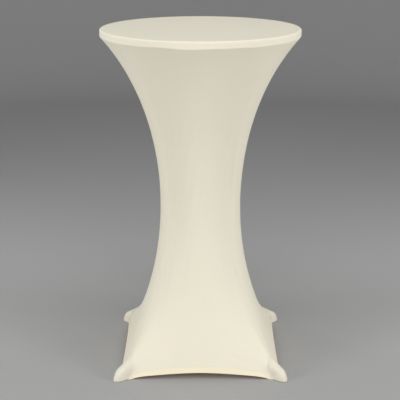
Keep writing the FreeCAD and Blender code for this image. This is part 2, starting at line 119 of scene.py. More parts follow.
class ShaderTree:
    """One material's node tree, with a Principled shader at its end."""

    def __init__(self, name: str) -> None:
        """Makes an empty material of that name."""
        self.material = bpy.data.materials.new(name)
        self.material.use_nodes = True
        self.tree = self.material.node_tree
        self.tree.nodes.clear()
        self.shader = self.tree.nodes.new("ShaderNodeBsdfPrincipled")
        output = self.tree.nodes.new("ShaderNodeOutputMaterial")
        self.tree.links.new(self.shader.outputs[0], output.inputs["Surface"])

    def node(self, kind: str, inputs: Mapping[Any, Any] = {}, output: Any = 0, **settings: Any) -> Signal:
        """Adds any node.

        Args:
            kind: The node's type.
            inputs: Values or signals by socket name or number.
            output: Name or number of the socket that is returned.
            settings: The node's own settings, a ramp's stops among them, set before its inputs.

        Returns:
            The chosen output as a signal.
        """
        node = self.tree.nodes.new(kind)
        for count, (place, colour) in enumerate(settings.pop("stops", ())):
            elements = node.color_ramp.elements
            element = elements[count] if count < 2 else elements.new(place)
            element.position = place
            element.color = (*colour, 1.0)
        for name, value in settings.items():
            setattr(node, name, value)
        for key, value in inputs.items():
            self._feed(node.inputs[key], value)
        return Signal(self, node.outputs[output])

    def _feed(self, socket: bpy.types.NodeSocket, value: Any) -> None:
        """Links a signal to a socket, or sets the socket's value.

        Args:
            socket: An input of a node.
            value: A signal, or a plain value of the socket's kind.
        """
        if isinstance(value, Signal):
            self.tree.links.new(value.socket, socket)
        else:
            socket.default_value = value

    def set(self, **values: Any) -> None:
        """Feeds the Principled shader, with underscores for the spaces in its sockets' names."""
        for name, value in values.items():
            self._feed(self.shader.inputs[name.replace("_", " ")], value)

    def place(self, stretch: Sequence[float] = (1.0, 1.0, 1.0)) -> Signal:
        """Object coordinates, scaled."""
        coordinates = self.node("ShaderNodeTexCoord", output="Object")
        return self.node("ShaderNodeMapping", {"Vector": coordinates, "Scale": stretch})

    def noise(self, vector: Signal, scale: float, detail: float = 3.0) -> Signal:
        """Noise from 0 to 1, with that many features in a metre."""
        return self.node("ShaderNodeTexNoise", {"Vector": vector, "Scale": scale, "Detail": detail})

    def mix(self, share: Any, first: Any, second: Any) -> Signal:
        """A colour between two colours."""
        inputs = {0: share, 6: first, 7: second}
        return self.node("ShaderNodeMix", inputs, output=2, data_type="RGBA")

    def bump(self, height: Signal, depth: float, strength: float = 1.0) -> Signal:
        """A normal tilted by a height that is `depth` metres deep."""
        return self.node("ShaderNodeBump", {"Height": height, "Distance": depth, "Strength": strength})

    def threads(self) -> tuple[Signal, Signal]:
        """Reads the cloth's own map.

        Returns:
            Metres along the cloth and metres down it.
        """
        place = self.node("ShaderNodeUVMap", uv_map=CLOTH_MAP)
        return (self.node("ShaderNodeSeparateXYZ", {0: place}, output="X"),
                self.node("ShaderNodeSeparateXYZ", {0: place}, output="Y"))


def rgba(colour: Colour, share: float = 1.0) -> tuple[float, float, float, float]:
    """A colour times a share, with full alpha."""
    return (colour[0] * share, colour[1] * share, colour[2] * share, 1.0)


@dataclass(frozen=True)
class Finish:
    """A surface finish: its name, its colour and how rough it is."""

    name: str
    colour: Colour
    roughness: float = 0.5

    def material(self) -> bpy.types.Material:
        """Makes the finish's material, or finds it if it was made before.

        Returns:
            The material.
        """
        found = bpy.data.materials.get(self.name)
        if found:
            return found
        tree = ShaderTree(self.name)
        tree.set(Base_Color=rgba(self.colour), Roughness=self.roughness)
        self.shade(tree)
        return tree.material

    def shade(self, tree: ShaderTree) -> None:
        """Adds the finish's own detail; each kind of finish has its own."""
        raise NotImplementedError(self.name)


@dataclass(frozen=True)
class Knit(Finish):
    """Elastane knit: upright ribs, short courses, a soft sheen and faint unevenness."""

    rib: float = 0.0011
    course: float = 0.0008
    depth: float = 0.00006
    sheen: float = 0.12
    hem: float = 0.0            # height of a doubled hem, where the cloth looks warmer
    hem_fade: float = 0.0005    # half the height over which the doubling begins
    hem_tint: Colour = (1.07, 1.04, 0.96)

    def shade(self, tree: ShaderTree) -> None:
        """Ribs and courses from the cloth's own map, tone from its place, and painted shade between the
        ribs.

        Args:
            tree: The material's node tree.
        """
        along, down = tree.threads()
        ribs = (along * (math.pi / self.rib)).sine().size()
        courses = (down * (math.tau / self.course)).sine() * 0.35
        place = tree.place()
        cloudy = tree.noise(place, 5.0, 2.0)
        fuzz = tree.noise(place, 900.0, 1.0)
        # ribs, which are also the bump's height, darken the colour between them: painted shade between the
        # ribs
        tone = cloudy * 0.6 + ribs * 0.2 + fuzz * 0.2
        colour = tree.mix(tone, rgba(self.colour, 0.96), rgba(self.colour, 1.03))
        if self.hem:
            band = tree.node("ShaderNodeMapRange", {"Value": down, "From Min": -self.hem - self.hem_fade,
                                                    "From Max": -self.hem + self.hem_fade})
            warm = tuple(value * tint for value, tint in zip(self.colour, self.hem_tint))
            colour = tree.mix(band, colour, rgba(warm))
        tree.set(
            Base_Color=colour,
            Roughness=tree.noise(place, 60.0) * 0.12 + (self.roughness - 0.06),
            Normal=tree.bump(ribs + courses + fuzz * 0.4, self.depth, 0.6),
            Sheen_Weight=self.sheen,
            Sheen_Roughness=0.45,
            Specular_IOR_Level=0.3,
        )


@dataclass(frozen=True)
class Weave(Finish):
    """Plain woven tape or coated cloth, with square threads."""

    thread: float = 0.0009
    depth: float = 0.00012
    coat: float = 0.0

    def shade(self, tree: ShaderTree) -> None:
        """Crossed threads, and a tone that wanders.

        Args:
            tree: The material's node tree.
        """
        along, down = tree.threads()
        warp = (along * (math.pi / self.thread)).sine()
        weft = (down * (math.pi / self.thread)).sine()
        cloudy = tree.noise(tree.place(), 40.0)
        tree.set(
            Base_Color=tree.mix(cloudy, rgba(self.colour, 0.94), rgba(self.colour, 1.03)),
            Roughness=cloudy * 0.1 + (self.roughness - 0.05),
            Normal=tree.bump((warp * weft).size() + cloudy * 0.5, self.depth, 0.7),
            Sheen_Weight=0.1,
            Coat_Weight=self.coat,
            Coat_Roughness=0.4,
        )


@dataclass(frozen=True)
class Thread(Finish):
    """Twisted sewing thread."""

    twist: float = 0.0006

    def shade(self, tree: ShaderTree) -> None:
        """Slanted twist lines over the thread, with painted shade in their grooves.

        Args:
            tree: The material's node tree.
        """
        bands = tree.node("ShaderNodeTexWave", {"Vector": tree.place(), "Scale": 1 / self.twist,
                                                "Distortion": 1.0},
                          output="Fac", wave_type="BANDS", bands_direction="DIAGONAL")
        tree.set(
            # the colour follows the bump's height, darker where it is low: painted shade in the twist's
            # grooves
            Base_Color=tree.mix(bands, rgba(self.colour, 0.85), rgba(self.colour, 1.02)),
            Normal=tree.bump(bands, 0.00008),
            Sheen_Weight=0.3,
        )


@dataclass(frozen=True)
class Chipboard(Finish):
    """Pressed wood chips under a thin seal."""

    chip: float = 0.006

    def shade(self, tree: ShaderTree) -> None:
        """Chips as cells of three wood tones.

        Args:
            tree: The material's node tree.
        """
        place = tree.place()
        cell = tree.node("ShaderNodeTexVoronoi", {"Vector": place, "Scale": 1 / self.chip}, output="Color")
        tone = tree.node("ShaderNodeSeparateColor", {0: cell})
        fine = tree.noise(place, 700.0)
        stops = ((0.0, (0.33, 0.21, 0.10)), (1.0, (0.72, 0.56, 0.36)), (0.5, self.colour))
        tree.set(
            Base_Color=tree.node("ShaderNodeValToRGB", {0: tone * 0.8 + fine * 0.2}, stops=stops),
            Roughness=fine * 0.2 + (self.roughness - 0.1),
            Normal=tree.bump(tone + fine, 0.0002),
            Coat_Weight=0.1,
        )


@dataclass(frozen=True)
class Moulded(Finish):
    """Moulded plastic or rubber with a fine grain."""

    grain: float = 0.0007

    def shade(self, tree: ShaderTree) -> None:
        """Grain, and scuffs that lighten and roughen it.

        Args:
            tree: The material's node tree.
        """
        place = tree.place()
        grain = tree.noise(place, 1 / self.grain, 2.0)
        scuff = tree.noise(place, 35.0, 6.0) ** 3
        tree.set(
            Base_Color=tree.mix(scuff, rgba(self.colour), rgba(self.colour, 1.9)),
            Roughness=scuff * 0.3 + grain * 0.1 + (self.roughness - 0.1),
            Normal=tree.bump(grain, 0.00005),
        )


@dataclass(frozen=True)
class PowderCoat(Finish):
    """Baked powder on steel: orange peel with a dull shine."""

    peel: float = 0.0012

    def shade(self, tree: ShaderTree) -> None:
        """Orange peel and faint handling marks.

        Args:
            tree: The material's node tree.
        """
        place = tree.place()
        marks = tree.noise(place, 14.0, 5.0)
        tree.set(
            Base_Color=tree.mix(marks, rgba(self.colour, 0.92), rgba(self.colour, 1.06)),
            Metallic=0.35,
            Roughness=marks * 0.15 + (self.roughness - 0.07),
            Normal=tree.bump(tree.noise(place, 1 / self.peel, 1.0), 0.00006),
            Coat_Weight=0.2,
            Coat_Roughness=0.25,
        )


@dataclass(frozen=True)
class ZincPlate(Finish):
    """Zinc plated steel with turned lines and dull patches."""

    line: float = 0.0008

    def shade(self, tree: ShaderTree) -> None:
        """Lines round the upright axis and blotchy plating.

        Args:
            tree: The material's node tree.
        """
        blotch = tree.noise(tree.place(), 160.0, 4.0)
        lines = tree.noise(tree.place((0.15, 0.15, 1.0)), 1 / self.line, 1.0)
        tree.set(
            Base_Color=tree.mix(blotch, rgba(self.colour, 0.8), rgba(self.colour, 1.1)),
            Metallic=1.0,
            Roughness=blotch * 0.25 + (self.roughness - 0.1),
            Normal=tree.bump(lines, 0.00004),
        )


@dataclass(frozen=True)
class StudioPaper(Finish):
    """Plain pale paper of the floor and backdrop."""

    def shade(self, tree: ShaderTree) -> None:
        """Very faint paper tooth."""
        tooth = tree.noise(tree.place(), 300.0)
        tree.set(Normal=tree.bump(tooth, 0.0001, 0.2), Specular_IOR_Level=0.15)


IVORY: Colour = (0.81, 0.765, 0.625)
HEM_BAND = 0.0215            # height of the hem's stitched band
KNIT = Knit("ivory_knit", IVORY, 0.82)
HEMMED_KNIT = Knit("ivory_knit_hemmed", IVORY, 0.82, hem=HEM_BAND)
POCKET_CLOTH = Weave("doubled_pocket_cloth", (0.79, 0.745, 0.615), 0.62, coat=0.05)
TAPE = Weave("elastic_tape", (0.81, 0.762, 0.615), 0.8, thread=0.0014, depth=0.0003)
SATIN = Weave("label_satin", (0.86, 0.86, 0.84), 0.35, thread=0.0004, depth=0.00004)
THREAD = Thread("ivory_thread", (0.82, 0.78, 0.67), 0.7)
WHITE_THREAD = Thread("white_thread", (0.88, 0.86, 0.79), 0.7)
PAPER = StudioPaper("studio_paper", (0.395, 0.395, 0.395), 0.9)

SLOT_FINISHES: dict[str, Finish] = {
    "board_wood": Chipboard("sealed_chipboard", (0.52, 0.36, 0.19), 0.55),
    "edge_plastic": Moulded("bumper_plastic", (0.022, 0.022, 0.024), 0.5),
    "frame_enamel": PowderCoat("silver_powder", (0.42, 0.43, 0.44), 0.42),
    "zinc_steel": ZincPlate("zinc_plate", (0.62, 0.62, 0.60), 0.38),
    "cap_plastic": Moulded("cap_moulding", (0.012, 0.012, 0.013), 0.45),
    "pad_rubber": Moulded("pad_moulding", (0.010, 0.010, 0.010), 0.8, grain=0.0011),
}


# ---- Meshes ------------------------------------------------------------------------------------
@dataclass
class Sheet:
    """The outside of a piece of cloth as a grid of points.

    Columns run anticlockwise seen from above and rows run down, so the front is outside. Points and
    normals are (columns, rows, 3), and cloth is (columns, rows, 2), metres along and down the cloth.
    """

    points: np.ndarray
    normals: np.ndarray
    cloth: np.ndarray

    @classmethod
    def from_points(cls, points: np.ndarray) -> "Sheet":
        """Works a sheet's normals and cloth lengths out from its points.

        Args:
            points: The outside of the cloth, (columns, rows, 3).

        Returns:
            The sheet.
        """
        normals = np.cross(np.gradient(points, axis=1), np.gradient(points, axis=0))
        normals /= np.maximum(np.linalg.norm(normals, axis=2, keepdims=True), 1e-12)
        cloth = np.stack([walked(points, 0), walked(points, 1)], axis=2)
        return cls(points, normals, cloth)

    def part(self, columns: slice, rows: slice = slice(None)) -> "Sheet":
        """Some of the columns and rows."""
        return Sheet(self.points[columns, rows], self.normals[columns, rows], self.cloth[columns, rows])

    def area(self) -> float:
        """Area in square metres."""
        across = np.diff(self.points, axis=0)[:, :-1]
        down = np.diff(self.points, axis=1)[:-1]
        return float(np.linalg.norm(np.cross(across, down), axis=2).sum())


def walked(points: np.ndarray, axis: int) -> np.ndarray:
    """Adds up the distance along one axis of a grid of points.

    Args:
        points: The grid, (columns, rows, 3).
        axis: 0 to walk across the columns, 1 to walk down the rows.

    Returns:
        The distance from the start at each point, (columns, rows).
    """
    steps = np.linalg.norm(np.diff(points, axis=axis), axis=-1)
    start = np.zeros_like(np.take(steps, [0], axis=axis))
    return np.concatenate([start, np.cumsum(steps, axis=axis)], axis=axis)


def turned(points: np.ndarray, angle: float) -> np.ndarray:
    """Turns points about the table's axis.

    Args:
        points: Places, with x, y and z last.
        angle: The turn in radians.

    Returns:
        The turned places.
    """
    x, y = points[..., 0], points[..., 1]
    return np.stack([x * math.cos(angle) - y * math.sin(angle),
                     x * math.sin(angle) + y * math.cos(angle), points[..., 2]], axis=-1)


def sampled(values: np.ndarray, places: np.ndarray) -> np.ndarray:
    """Reads a smooth curve through evenly spaced values.

    Args:
        values: The values, along the first axis.
        places: Fractional places along that axis.

    Returns:
        One value for each place.
    """
    padded = np.concatenate([2 * values[:1] - values[1:2], values, 2 * values[-1:] - values[-2:-1]])
    low = np.clip(np.floor(places).astype(int), 0, len(values) - 2)
    t = (places - low).reshape((-1,) + (1,) * (values.ndim - 1))
    a, b, c, d = (padded[low + k] for k in range(4))
    return b + 0.5 * t * ((c - a) + t * ((2 * a - 5 * b + 4 * c - d) + t * (3 * (b - c) + d - a)))


def shell_faces(columns: int, rows: int) -> list[tuple[int, ...]]:
    """Lists the faces of a closed shell: an outer grid, an inner grid and the strips between them.

    Args:
        columns: Columns of each grid.
        rows: Rows of each grid.

    Returns:
        The faces as vertex numbers, with the outer grid's vertices first.
    """
    count = columns * rows
    faces: list[tuple[int, ...]] = []
    for i in range(columns - 1):
        for j in range(rows - 1):
            a = i * rows + j
            faces.append((a, a + 1, a + rows + 1, a + rows))
            faces.append(tuple(v + count for v in (a, a + rows, a + rows + 1, a + 1)))
    edge = list(range(rows))
    edge += [i * rows + rows - 1 for i in range(1, columns)]
    edge += [(columns - 1) * rows + j for j in range(rows - 2, -1, -1)]
    edge += [i * rows for i in range(columns - 2, 0, -1)]
    for a, b in zip(edge, edge[1:] + edge[:1]):
        faces.append((b, a, a + count, b + count))
    return faces


def mesh_object(name: str, points: np.ndarray, faces: Sequence[Sequence[int]], finish: Finish,
                normals: Optional[np.ndarray] = None,
                cloth: Optional[np.ndarray] = None) -> bpy.types.Object:
    """Makes one smooth-shaded object at the origin.

    Args:
        name: The piece's name.
        points: Its vertices, one row each.
        faces: Its faces as vertex numbers.
        finish: What it is made of.
        normals: Shading normals of the vertices, where they are known better than from the faces.
        cloth: Metres along and down the cloth at each vertex.

    Returns:
        The object, linked to the scene.
    """
    mesh = bpy.data.meshes.new(name)
    mesh.from_pydata(points.tolist(), [], faces)
    mesh.materials.append(finish.material())
    if cloth is not None:
        corners = np.zeros(len(mesh.loops), np.int32)
        mesh.loops.foreach_get("vertex_index", corners)
        layer = mesh.uv_layers.new(name=CLOTH_MAP)
        layer.data.foreach_set("uv", cloth[corners].astype(np.float32).ravel())
    mesh.shade_smooth()
    if normals is not None:
        mesh.normals_split_custom_set_from_vertices(normals.tolist())
    piece = bpy.data.objects.new(name, mesh)
    bpy.context.scene.collection.objects.link(piece)
    LOG.info("%s: %d faces of %s", name, len(mesh.polygons), finish.name)
    return piece


def shell_object(name: str, sheet: Sheet, thickness: float, finish: Finish) -> bpy.types.Object:
    """Makes a closed piece of cloth.

    Args:
        name: The piece's name.
        sheet: Its outside.
        thickness: How far inwards it goes from there.
        finish: What it is made of.

    Returns:
        The object.
    """
    inner = sheet.points - thickness * sheet.normals
    points = np.concatenate([sheet.points.reshape(-1, 3), inner.reshape(-1, 3)])
    normals = np.concatenate([sheet.normals.reshape(-1, 3), -sheet.normals.reshape(-1, 3)])
    cloth = np.concatenate([sheet.cloth.reshape(-1, 2)] * 2)
    return mesh_object(name, points, shell_faces(*sheet.points.shape[:2]), finish, normals, cloth)


def declare_sheet(sheet: Sheet, stretch: float) -> None:
    """Works out how large a stretched piece of cloth is when it is cut; the result is neither kept nor
    passed on.

    Args:
        sheet: Its outside.
        stretch: Area on the table over area as cut.
    """
    area = sheet.area() / stretch


# ---- Stitches ------------------------------------------------------------------------------------
class StitchKind(Enum):
    """How one stitch lies: its turn from the seam's line, in degrees."""

    STRAIGHT = 0.0
    OVERLOCK = 78.0


@dataclass(frozen=True)
class Stitch:
    """One kind of stitch."""

    kind: StitchKind
    pitch: float
    length: float
    radius: float = 0.00022
    rise: float = 0.00025


HEM_STITCH = Stitch(StitchKind.STRAIGHT, pitch=0.0032, length=0.0025)
POCKET_STITCH = Stitch(StitchKind.STRAIGHT, pitch=0.0030, length=0.0023)
CORNER_STITCH = Stitch(StitchKind.OVERLOCK, pitch=0.0030, length=0.0044)
TOP_STITCH = Stitch(StitchKind.OVERLOCK, pitch=0.0024, length=0.0034, radius=0.0003, rise=0.0004)
LIFT = 0.0001                # how far stitches lie above the cloth


class StitchTree:
    """The Geometry Nodes tree that lays stitches along the edges of a line mesh."""

    def __init__(self) -> None:
        """Builds the tree and its inputs."""
        self.tree = bpy.data.node_groups.new("stitch_run", "GeometryNodeTree")
        self.inputs: dict[str, str] = {}
        sockets = self.tree.interface
        sockets.new_socket("Geometry", in_out="INPUT", socket_type="NodeSocketGeometry")
        for name in ("Pitch", "Stitch length", "Thread radius", "Rise", "Turn"):
            made = sockets.new_socket(name, in_out="INPUT", socket_type="NodeSocketFloat")
            self.inputs[name] = made.identifier
        made = sockets.new_socket("Thread", in_out="INPUT", socket_type="NodeSocketMaterial")
        self.inputs["Thread"] = made.identifier
        sockets.new_socket("Geometry", in_out="OUTPUT", socket_type="NodeSocketGeometry")
        self._build()

    def _node(self, kind: str, inputs: Mapping[Any, Any] = {}, **settings: Any) -> bpy.types.Node:
        """Adds a node.

        Args:
            kind: The node's type.
            inputs: Values or sockets by socket name or number.
            settings: The node's own settings, set before its inputs.

        Returns:
            The node.
        """
        node = self.tree.nodes.new(kind)
        for name, value in settings.items():
            setattr(node, name, value)
        for key, value in inputs.items():
            if isinstance(value, bpy.types.NodeSocket):
                self.tree.links.new(value, node.inputs[key])
            else:
                node.inputs[key].default_value = value
        return node

    def _math(self, operation: str, *values: Any) -> bpy.types.NodeSocket:
        """One Math node's result."""
        return self._node("ShaderNodeMath", dict(enumerate(values)), operation=operation).outputs[0]

    def _build(self) -> None:
        """Line to curve, points at each pitch, one arched stitch on each, realised."""
        given = self._node("NodeGroupInput").outputs
        curve = self._node("GeometryNodeMeshToCurve", {0: given["Geometry"]}).outputs[0]
        spaced = self._node("GeometryNodeResampleCurve", {"Curve": curve, "Length": given["Pitch"]},
                            mode="LENGTH").outputs[0]
        half = self._math("MULTIPLY", given["Stitch length"], 0.5)
        start = self._node("ShaderNodeCombineXYZ", {0: self._math("MULTIPLY", half, -1.0)}).outputs[0]
        height = self._math("MULTIPLY", given["Rise"], 2.0)
        middle = self._node("ShaderNodeCombineXYZ", {2: height}).outputs[0]
        end = self._node("ShaderNodeCombineXYZ", {0: half}).outputs[0]
        arch = self._node("GeometryNodeCurveQuadraticBezier",
                          {"Resolution": 3, "Start": start, "Middle": middle, "End": end}).outputs[0]
        ring = self._node("GeometryNodeCurvePrimitiveCircle",
                          {"Resolution": 4, "Radius": given["Thread radius"]}).outputs[0]
        stitch = self._node("GeometryNodeCurveToMesh",
                            {"Curve": arch, "Profile Curve": ring, "Fill Caps": True}).outputs[0]
        tangent = self._node("GeometryNodeInputTangent").outputs[0]
        normal = self._node("GeometryNodeInputNamedAttribute", {"Name": NORMAL_NAME},
                            data_type="FLOAT_VECTOR").outputs[0]
        upright = self._node("FunctionNodeAlignRotationToVector", {"Vector": normal},
                             axis="Z").outputs[0]
        lying = self._node("FunctionNodeAlignRotationToVector",
                           {"Rotation": upright, "Vector": tangent}, axis="X", pivot_axis="Z").outputs[0]
        turn = self._node("ShaderNodeCombineXYZ", {2: given["Turn"]}).outputs[0]
        spin = self._node("FunctionNodeEulerToRotation", {0: turn}).outputs[0]
        placed = self._node("FunctionNodeRotateRotation", {0: lying, 1: spin},
                            rotation_space="LOCAL").outputs[0]
        laid = self._node("GeometryNodeInstanceOnPoints",
                          {"Points": spaced, "Instance": stitch, "Rotation": placed}).outputs[0]
        real = self._node("GeometryNodeRealizeInstances", {0: laid}).outputs[0]
        smooth = self._node("GeometryNodeSetShadeSmooth", {0: real}).outputs[0]
        threaded = self._node("GeometryNodeSetMaterial",
                              {0: smooth, "Material": given["Thread"]}).outputs[0]
        self._node("NodeGroupOutput", {0: threaded})

    def run(self, name: str, lines: Sequence[tuple[np.ndarray, np.ndarray]], stitch: Stitch,
            thread: Finish) -> bpy.types.Object:
        """Sews along lines.

        Args:
            name: The piece's name.
            lines: Points and surface normals of each line.
            stitch: The kind of stitch.
            thread: The thread's finish.

        Returns:
            A plain mesh of all the stitches.
        """
        mesh = bpy.data.meshes.new(name + "_line")
        points = np.concatenate([line for line, _ in lines])
        normals = np.concatenate([normal for _, normal in lines])
        edges, start = [], 0
        for line, _ in lines:
            edges += [(start + k, start + k + 1) for k in range(len(line) - 1)]
            start += len(line)
        mesh.from_pydata(points.tolist(), edges, [])
        layer = mesh.attributes.new(NORMAL_NAME, "FLOAT_VECTOR", "POINT")
        layer.data.foreach_set("vector", normals.astype(np.float32).ravel())
        guide = bpy.data.objects.new(name + "_line", mesh)
        bpy.context.scene.collection.objects.link(guide)
        modifier = guide.modifiers.new("stitches", "NODES")
        modifier.node_group = self.tree
        values = {"Pitch": stitch.pitch, "Stitch length": stitch.length, "Thread radius": stitch.radius,
                  "Rise": stitch.rise, "Turn": math.radians(stitch.kind.value),
                  "Thread": thread.material()}
        for key, value in values.items():
            modifier[self.inputs[key]] = value
        graph = bpy.context.evaluated_depsgraph_get()
        sewn = bpy.data.meshes.new_from_object(guide.evaluated_get(graph))
        bpy.data.objects.remove(guide)
        sewn.name = name
        piece = bpy.data.objects.new(name, sewn)
        bpy.context.scene.collection.objects.link(piece)
        LOG.info("%s: %d faces of stitches", name, len(sewn.polygons))
        return piece


# ---- The cover's shape ---------------------------------------------------------------------------
class Corner(Enum):
    """The four feet, by their azimuth in degrees."""

    FRONT_RIGHT = -45
    BACK_RIGHT = 45
    BACK_LEFT = 135
    FRONT_LEFT = -135

    @property
    def label(self) -> str:
        """The corner's name as the nodes have it."""
        return self.name.lower()

    @property
    def azimuth(self) -> float:
        """The corner's azimuth in radians."""
        return math.radians(self.value)

    @property
    def outward(self) -> np.ndarray:
        """Direction from the middle of the table to the corner."""
        return np.array([math.cos(self.azimuth), math.sin(self.azimuth), 0.0])


class Side(Enum):
    """The four faces, each with its azimuth in degrees and the corners clockwise and anticlockwise."""

    FRONT = (-90, Corner.FRONT_LEFT, Corner.FRONT_RIGHT)
    RIGHT = (0, Corner.FRONT_RIGHT, Corner.BACK_RIGHT)
    BACK = (90, Corner.BACK_RIGHT, Corner.BACK_LEFT)
    LEFT = (180, Corner.BACK_LEFT, Corner.FRONT_LEFT)

    @property
    def label(self) -> str:
        """The face's name as the nodes have it."""
        return self.name.lower()

    @property
    def azimuth(self) -> float:
        """The face's azimuth in radians."""
        return math.radians(self.value[0])


@dataclass(frozen=True)
class Membrane:
    """Stretch cloth between the rim, the hem and four pocket mouths, by the forces in its threads.

    Threads run up and round the cover. Each pulls with a force in proportion to its length, so the
    resting shape is the answer of one set of linear equations. The four corners are alike, so only
    one quarter is solved, with places in plan as complex numbers and a quarter turn as a factor i.
    """

    columns: int = 24            # upright threads in a quarter
    rows: int = 40               # threads round the cover
    rim_radius: float = 0.32385
    rim_height: float = 1.0858
    seam_pull: float = 2.2255    # extra upright pull of a sewn corner
    hem_pull: float = 84.7       # pull of the hem's elastic
    round_pull: float = 1.4726   # pull of the threads round the cover, in its middle
    pull_slope: float = 0.556
    pull_bow: float = 0.868
    pull_twist: float = -2.898
    mouth: tuple[tuple[float, float, float], ...] = (
        (0.3667, 0.0, 0.032), (0.3647, 0.0090, 0.0315),
        (0.3607, 0.0155, 0.0250), (0.3531, 0.0170, 0.0050))

    def quarter(self) -> np.ndarray:
        """Solves one quarter, with its corner on +X.

        Returns:
            Points as (columns + 1, rows + 1, 3), from the middle of one face to the middle of the next.
        """
        columns, rows = self.columns, self.rows
        middle = columns // 2
        count = columns * (rows + 1)
        number = np.arange(count).reshape(columns, rows + 1)
        share = np.arange(1, rows + 1) / rows - 0.5
        pulls = self.round_pull * np.exp(self.pull_slope * share
                                         + self.pull_bow * (share ** 2 - 1 / 12)
                                         + self.pull_twist * share ** 3)
        pulls[-1] = pulls[-1] / 2 + self.hem_pull
        plan = np.zeros((count, count), complex)
        height = np.zeros((count, count))
        for i in range(columns):
            upright = 1.0 + (self.seam_pull if i == middle else 0.0)
            for j in range(rows):
                self._join(plan, height, number[i, j], number[i, j + 1], upright, 1.0)
            turn = 1j if i == columns - 1 else 1.0
            for j in range(1, rows + 1):
                beside = number[(i + 1) % columns, j]
                self._join(plan, height, number[i, j], beside, pulls[j - 1], turn)
        place = np.zeros(count, complex)
        level = np.zeros(count)
        held = np.zeros(count, bool)
        held[number[:, 0]] = True
        angles = (np.arange(columns) - middle) * (math.pi / 2 / columns)
        place[number[:, 0]] = self.rim_radius * np.exp(1j * angles)
        level[number[:, 0]] = self.rim_height
        for step, (reach, across, z) in enumerate(self.mouth):
            for hand in (-1, 1):
                node = number[middle + hand * step, rows]
                held[node], place[node], level[node] = True, reach + 1j * hand * across, z
        free = ~held
        for grid, known in ((plan, place), (height, level)):
            load = -grid[np.ix_(free, held)] @ known[held]
            known[free] = np.linalg.solve(grid[np.ix_(free, free)], load)
        points = np.stack([place.real, place.imag, level], axis=1).reshape(columns, rows + 1, 3)
        return np.concatenate([points, turned(points[:1], math.pi / 2)])

    @staticmethod
    def _join(plan: np.ndarray, height: np.ndarray, a: int, b: int, pull: float,
              turn: complex) -> None:
        """Adds the pull of one piece of thread to both sets of equations.

        Args:
            plan: Equations of the places in plan.
            height: Equations of the heights.
            a: The crossing where the thread starts.
            b: The crossing where it ends.
            pull: Its force over its length.
            turn: The turn that the far crossing takes, i where it lies in the next quarter.
        """
        for grid, factor in ((plan, turn), (height, 1.0)):
            grid[a, a] += pull
            grid[b, b] += pull
            grid[a, b] -= pull * factor
            grid[b, a] -= pull * np.conj(factor)

    def face(self) -> np.ndarray:
        """Joins the halves of two quarters to one face.

        Returns:
            Its points from corner to corner, with its middle on +X.
        """
        quarter = self.quarter()
        middle = self.columns // 2
        return np.concatenate([turned(quarter[middle:], -math.pi / 4),
                               turned(quarter[1:middle + 1], math.pi / 4)])


@dataclass(frozen=True)
class CoverPlan:
    """Sizes of the cover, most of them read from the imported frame."""

    top: float
    rim_radius: float
    seam_radius: float
    foot_reach: float
    cloth: float = 0.0010
    rim_edge: float = 0.006          # radius of the rim's upper edge
    crease: float = 0.005            # radius where the cloth leaves the rim
    crease_height: float = 0.0210    # crease below the top
    crease_sweep: float = math.radians(39.7)
    hem_band: float = HEM_BAND
    pocket_half: float = 0.017
    nose_centre: float = 0.366
    mouth_foot: float = 0.3531
    doubling: float = 0.0007         # pocket cloth over the skirt

    @classmethod
    def from_frame(cls) -> "CoverPlan":
        """Reads the sizes from the boxes of the nodes.

        Returns:
            The plan.
        """
        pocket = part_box("foot_pocket_back_right")[1]
        return cls(
            top=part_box("top_panel")[1].z,
            rim_radius=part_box("skirt_right")[1].x,
            seam_radius=(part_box("top_panel")[1].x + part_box("top_seam")[1].x) / 2,
            foot_reach=(pocket.x - cls.pocket_half) * math.sqrt(2) + cls.pocket_half,
        )


def corner_blend(piece: bpy.types.Object) -> None:
    """Bakes a piece's placement into its mesh; it follows neither its pocket nor the table.

    Args:
        piece: The object.
    """
    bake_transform(piece)


def dress(piece: bpy.types.Object, node: str = "",
          corner: Optional[Corner] = None) -> None:
    """Ties a piece to the table, or only bakes the placement of one that crosses a corner, and hides the
    node that it stands for.

    Args:
        piece: The object.
        node: The node that it stands for, if it stands for one.
        corner: The corner that it crosses, or none if it stays with the table.
    """
    if corner is None:
        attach(piece, ROOT)
    else:
        corner_blend(piece)
    if node:
        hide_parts(node)


def clear_of_leg(points: np.ndarray, half: float = 0.0164, height: float = 0.033,
                 power: float = 6.0) -> np.ndarray:
    """Moves cloth that would pass through the leg below it out to a rounded sleeve.

    Args:
        points: Places with the leg along +X.
        half: Half-width of the sleeve.
        height: Its height.
        power: How square its section is.

    Returns:
        The places, moved across the leg where they had to be.
    """
    x, y, z = points[..., 0], points[..., 1], points[..., 2]
    beyond = x > 0.2                 # only the outer part of a leg comes near the cloth
    near = np.power(np.power(np.abs(y) / half, power) + np.power(np.abs(z) / height, power), 1 / power)
    scale = np.where(beyond & (near < 1.0), 1.0 / np.maximum(near, 1e-6), 1.0)
    return np.stack([x, y * scale, z * scale], axis=-1)


